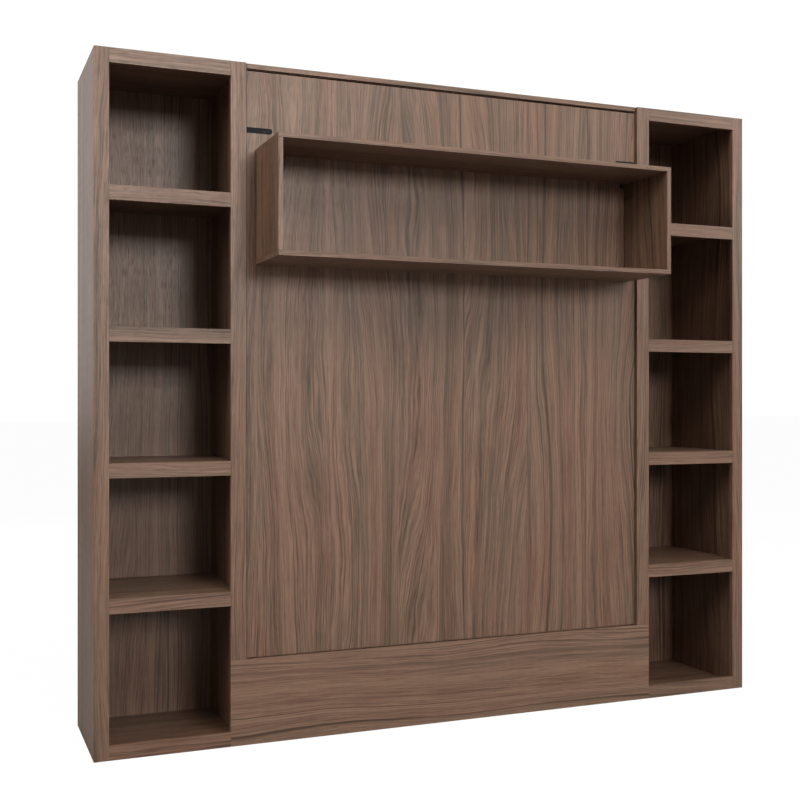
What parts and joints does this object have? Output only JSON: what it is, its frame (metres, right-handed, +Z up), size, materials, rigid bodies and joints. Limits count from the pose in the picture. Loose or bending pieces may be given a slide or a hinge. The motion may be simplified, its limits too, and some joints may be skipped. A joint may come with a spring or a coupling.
{
  "type": "murphy wall bed",
  "caption": "Closed vertical wall bed between open bookcase towers, with a box shelf on the front panel that stays level and becomes the foot.",
  "frame": {"origin": "on the floor, at the middle of the closed object's outline", "axes": "+X to the right seen from the room, +Y towards the wall, +Z up"},
  "size_m": [2.42, 0.6844, 2.18],
  "materials": {
    "walnut_laminate": "satin taupe walnut laminate, fine straight grain",
    "wall_rail_wood": "matt laminate rail",
    "birch_slats": "lacquered birch plywood",
    "mattress_fabric": "quilted knit ticking",
    "strap_webbing": "woven webbing",
    "black_plastic": "fine moulded texture",
    "bush_plastic": "moulded acetal",
    "black_steel": "satin black powder coat",
    "zinc_steel": "bright zinc plated",
    "chromed_rod": "hard chromed"
  },
  "bodies": {
    "cabinet": {"back_board": "walnut_laminate", "left_face_rails": "walnut_laminate", "left_outer_side": "walnut_laminate", "left_outer_stile": "walnut_laminate", "left_post": "walnut_laminate", "left_tower_back": "walnut_laminate", "left_tower_bottom": "walnut_laminate", "left_tower_shelf_1": "walnut_laminate", "left_tower_shelf_2": "walnut_laminate", "left_tower_shelf_3": "walnut_laminate", "left_tower_shelf_4": "walnut_laminate", "left_tower_top": "walnut_laminate", "left_upright": "walnut_laminate", "level_anchor_arms": "zinc_steel", "main_pivot_pins": "zinc_steel", "pivot_plates": "zinc_steel", "plinth": "walnut_laminate", "right_face_rails": "walnut_laminate", "right_outer_side": "walnut_laminate", "right_outer_stile": "walnut_laminate", "right_post": "walnut_laminate", "right_tower_back": "walnut_laminate", "right_tower_bottom": "walnut_laminate", "right_tower_shelf_1": "walnut_laminate", "right_tower_shelf_2": "walnut_laminate", "right_tower_shelf_3": "walnut_laminate", "right_tower_shelf_4": "walnut_laminate", "right_tower_top": "walnut_laminate", "right_upright": "walnut_laminate", "strut_upper_brackets": "zinc_steel", "top_board": "walnut_laminate", "top_trim": "walnut_laminate", "wall_rails": "wall_rail_wood"},
    "bed": {"front_panel": "walnut_laminate", "side_rail_left": "black_steel", "side_rail_right": "black_steel", "head_rail": "black_steel", "foot_rail": "black_steel", "crossbars": "black_steel", "bed_slats": "birch_slats", "slat_holders": "black_plastic", "pivot_bushes": "bush_plastic", "strut_lower_brackets": "zinc_steel", "shelf_hinge_brackets": "black_steel", "mattress": "mattress_fabric", "mattress_straps": "strap_webbing", "strap_buckles": "black_plastic", "latch_cases": "black_plastic"},
    "box_shelf": {"box_shelf_top": "walnut_laminate", "box_shelf_bottom": "walnut_laminate", "box_shelf_left_side": "walnut_laminate", "box_shelf_right_side": "walnut_laminate", "level_cranks": "black_steel", "shelf_hinge_pins": "black_steel"},
    "level_links": {"level_links": "black_steel"},
    "strut_cylinders": {"strut_cylinders": "black_steel"},
    "strut_rods": {"strut_rods": "chromed_rod"},
    "latch_left": {"latch_bolt_left": "black_steel"},
    "latch_right": {"latch_bolt_right": "black_steel"}
  },
  "joints": [
    {"name": "bed_fold", "type": "hinge", "parent": "cabinet", "child": "bed", "pos_m": [0, -0.04275, 0.4075], "axis": [1, 0, 0], "range_deg": [0, 90]},
    {"name": "shelf_level", "type": "hinge", "parent": "bed", "child": "box_shelf", "pos_m": [0, -0.08575, 1.9005], "axis": [1, 0, 0], "range_deg": [-90, 0]},
    {"name": "link_level", "type": "hinge", "parent": "box_shelf", "child": "level_links", "pos_m": [0, -0.05025, 1.936], "axis": [1, 0, 0], "range_deg": [0, 90]},
    {"name": "strut_swing", "type": "hinge", "parent": "cabinet", "child": "strut_cylinders", "pos_m": [0, 0.02725, 0.8875], "axis": [1, 0, 0], "range_deg": [0, 11.54]},
    {"name": "strut_stroke", "type": "slide", "parent": "strut_cylinders", "child": "strut_rods", "axis": [0, -0.0946, -0.9955], "range_m": [-0.13303, 0]},
    {"name": "latch_left_slide", "type": "slide", "parent": "bed", "child": "latch_left", "axis": [-1, 0, 0], "range_m": [0, 0.014]},
    {"name": "latch_right_slide", "type": "slide", "parent": "bed", "child": "latch_right", "axis": [1, 0, 0], "range_m": [0, 0.014]}
  ],
  "couplings": [
    {"joint": "shelf_level", "follows": "bed_fold", "ratio": -1},
    {"joint": "link_level", "follows": "bed_fold", "ratio": 1},
    {"joint": "strut_swing", "follows": "bed_fold", "ratio": 0.1282},
    {"joint": "strut_stroke", "follows": "bed_fold", "m_per_rad": -0.084691}
  ]
}
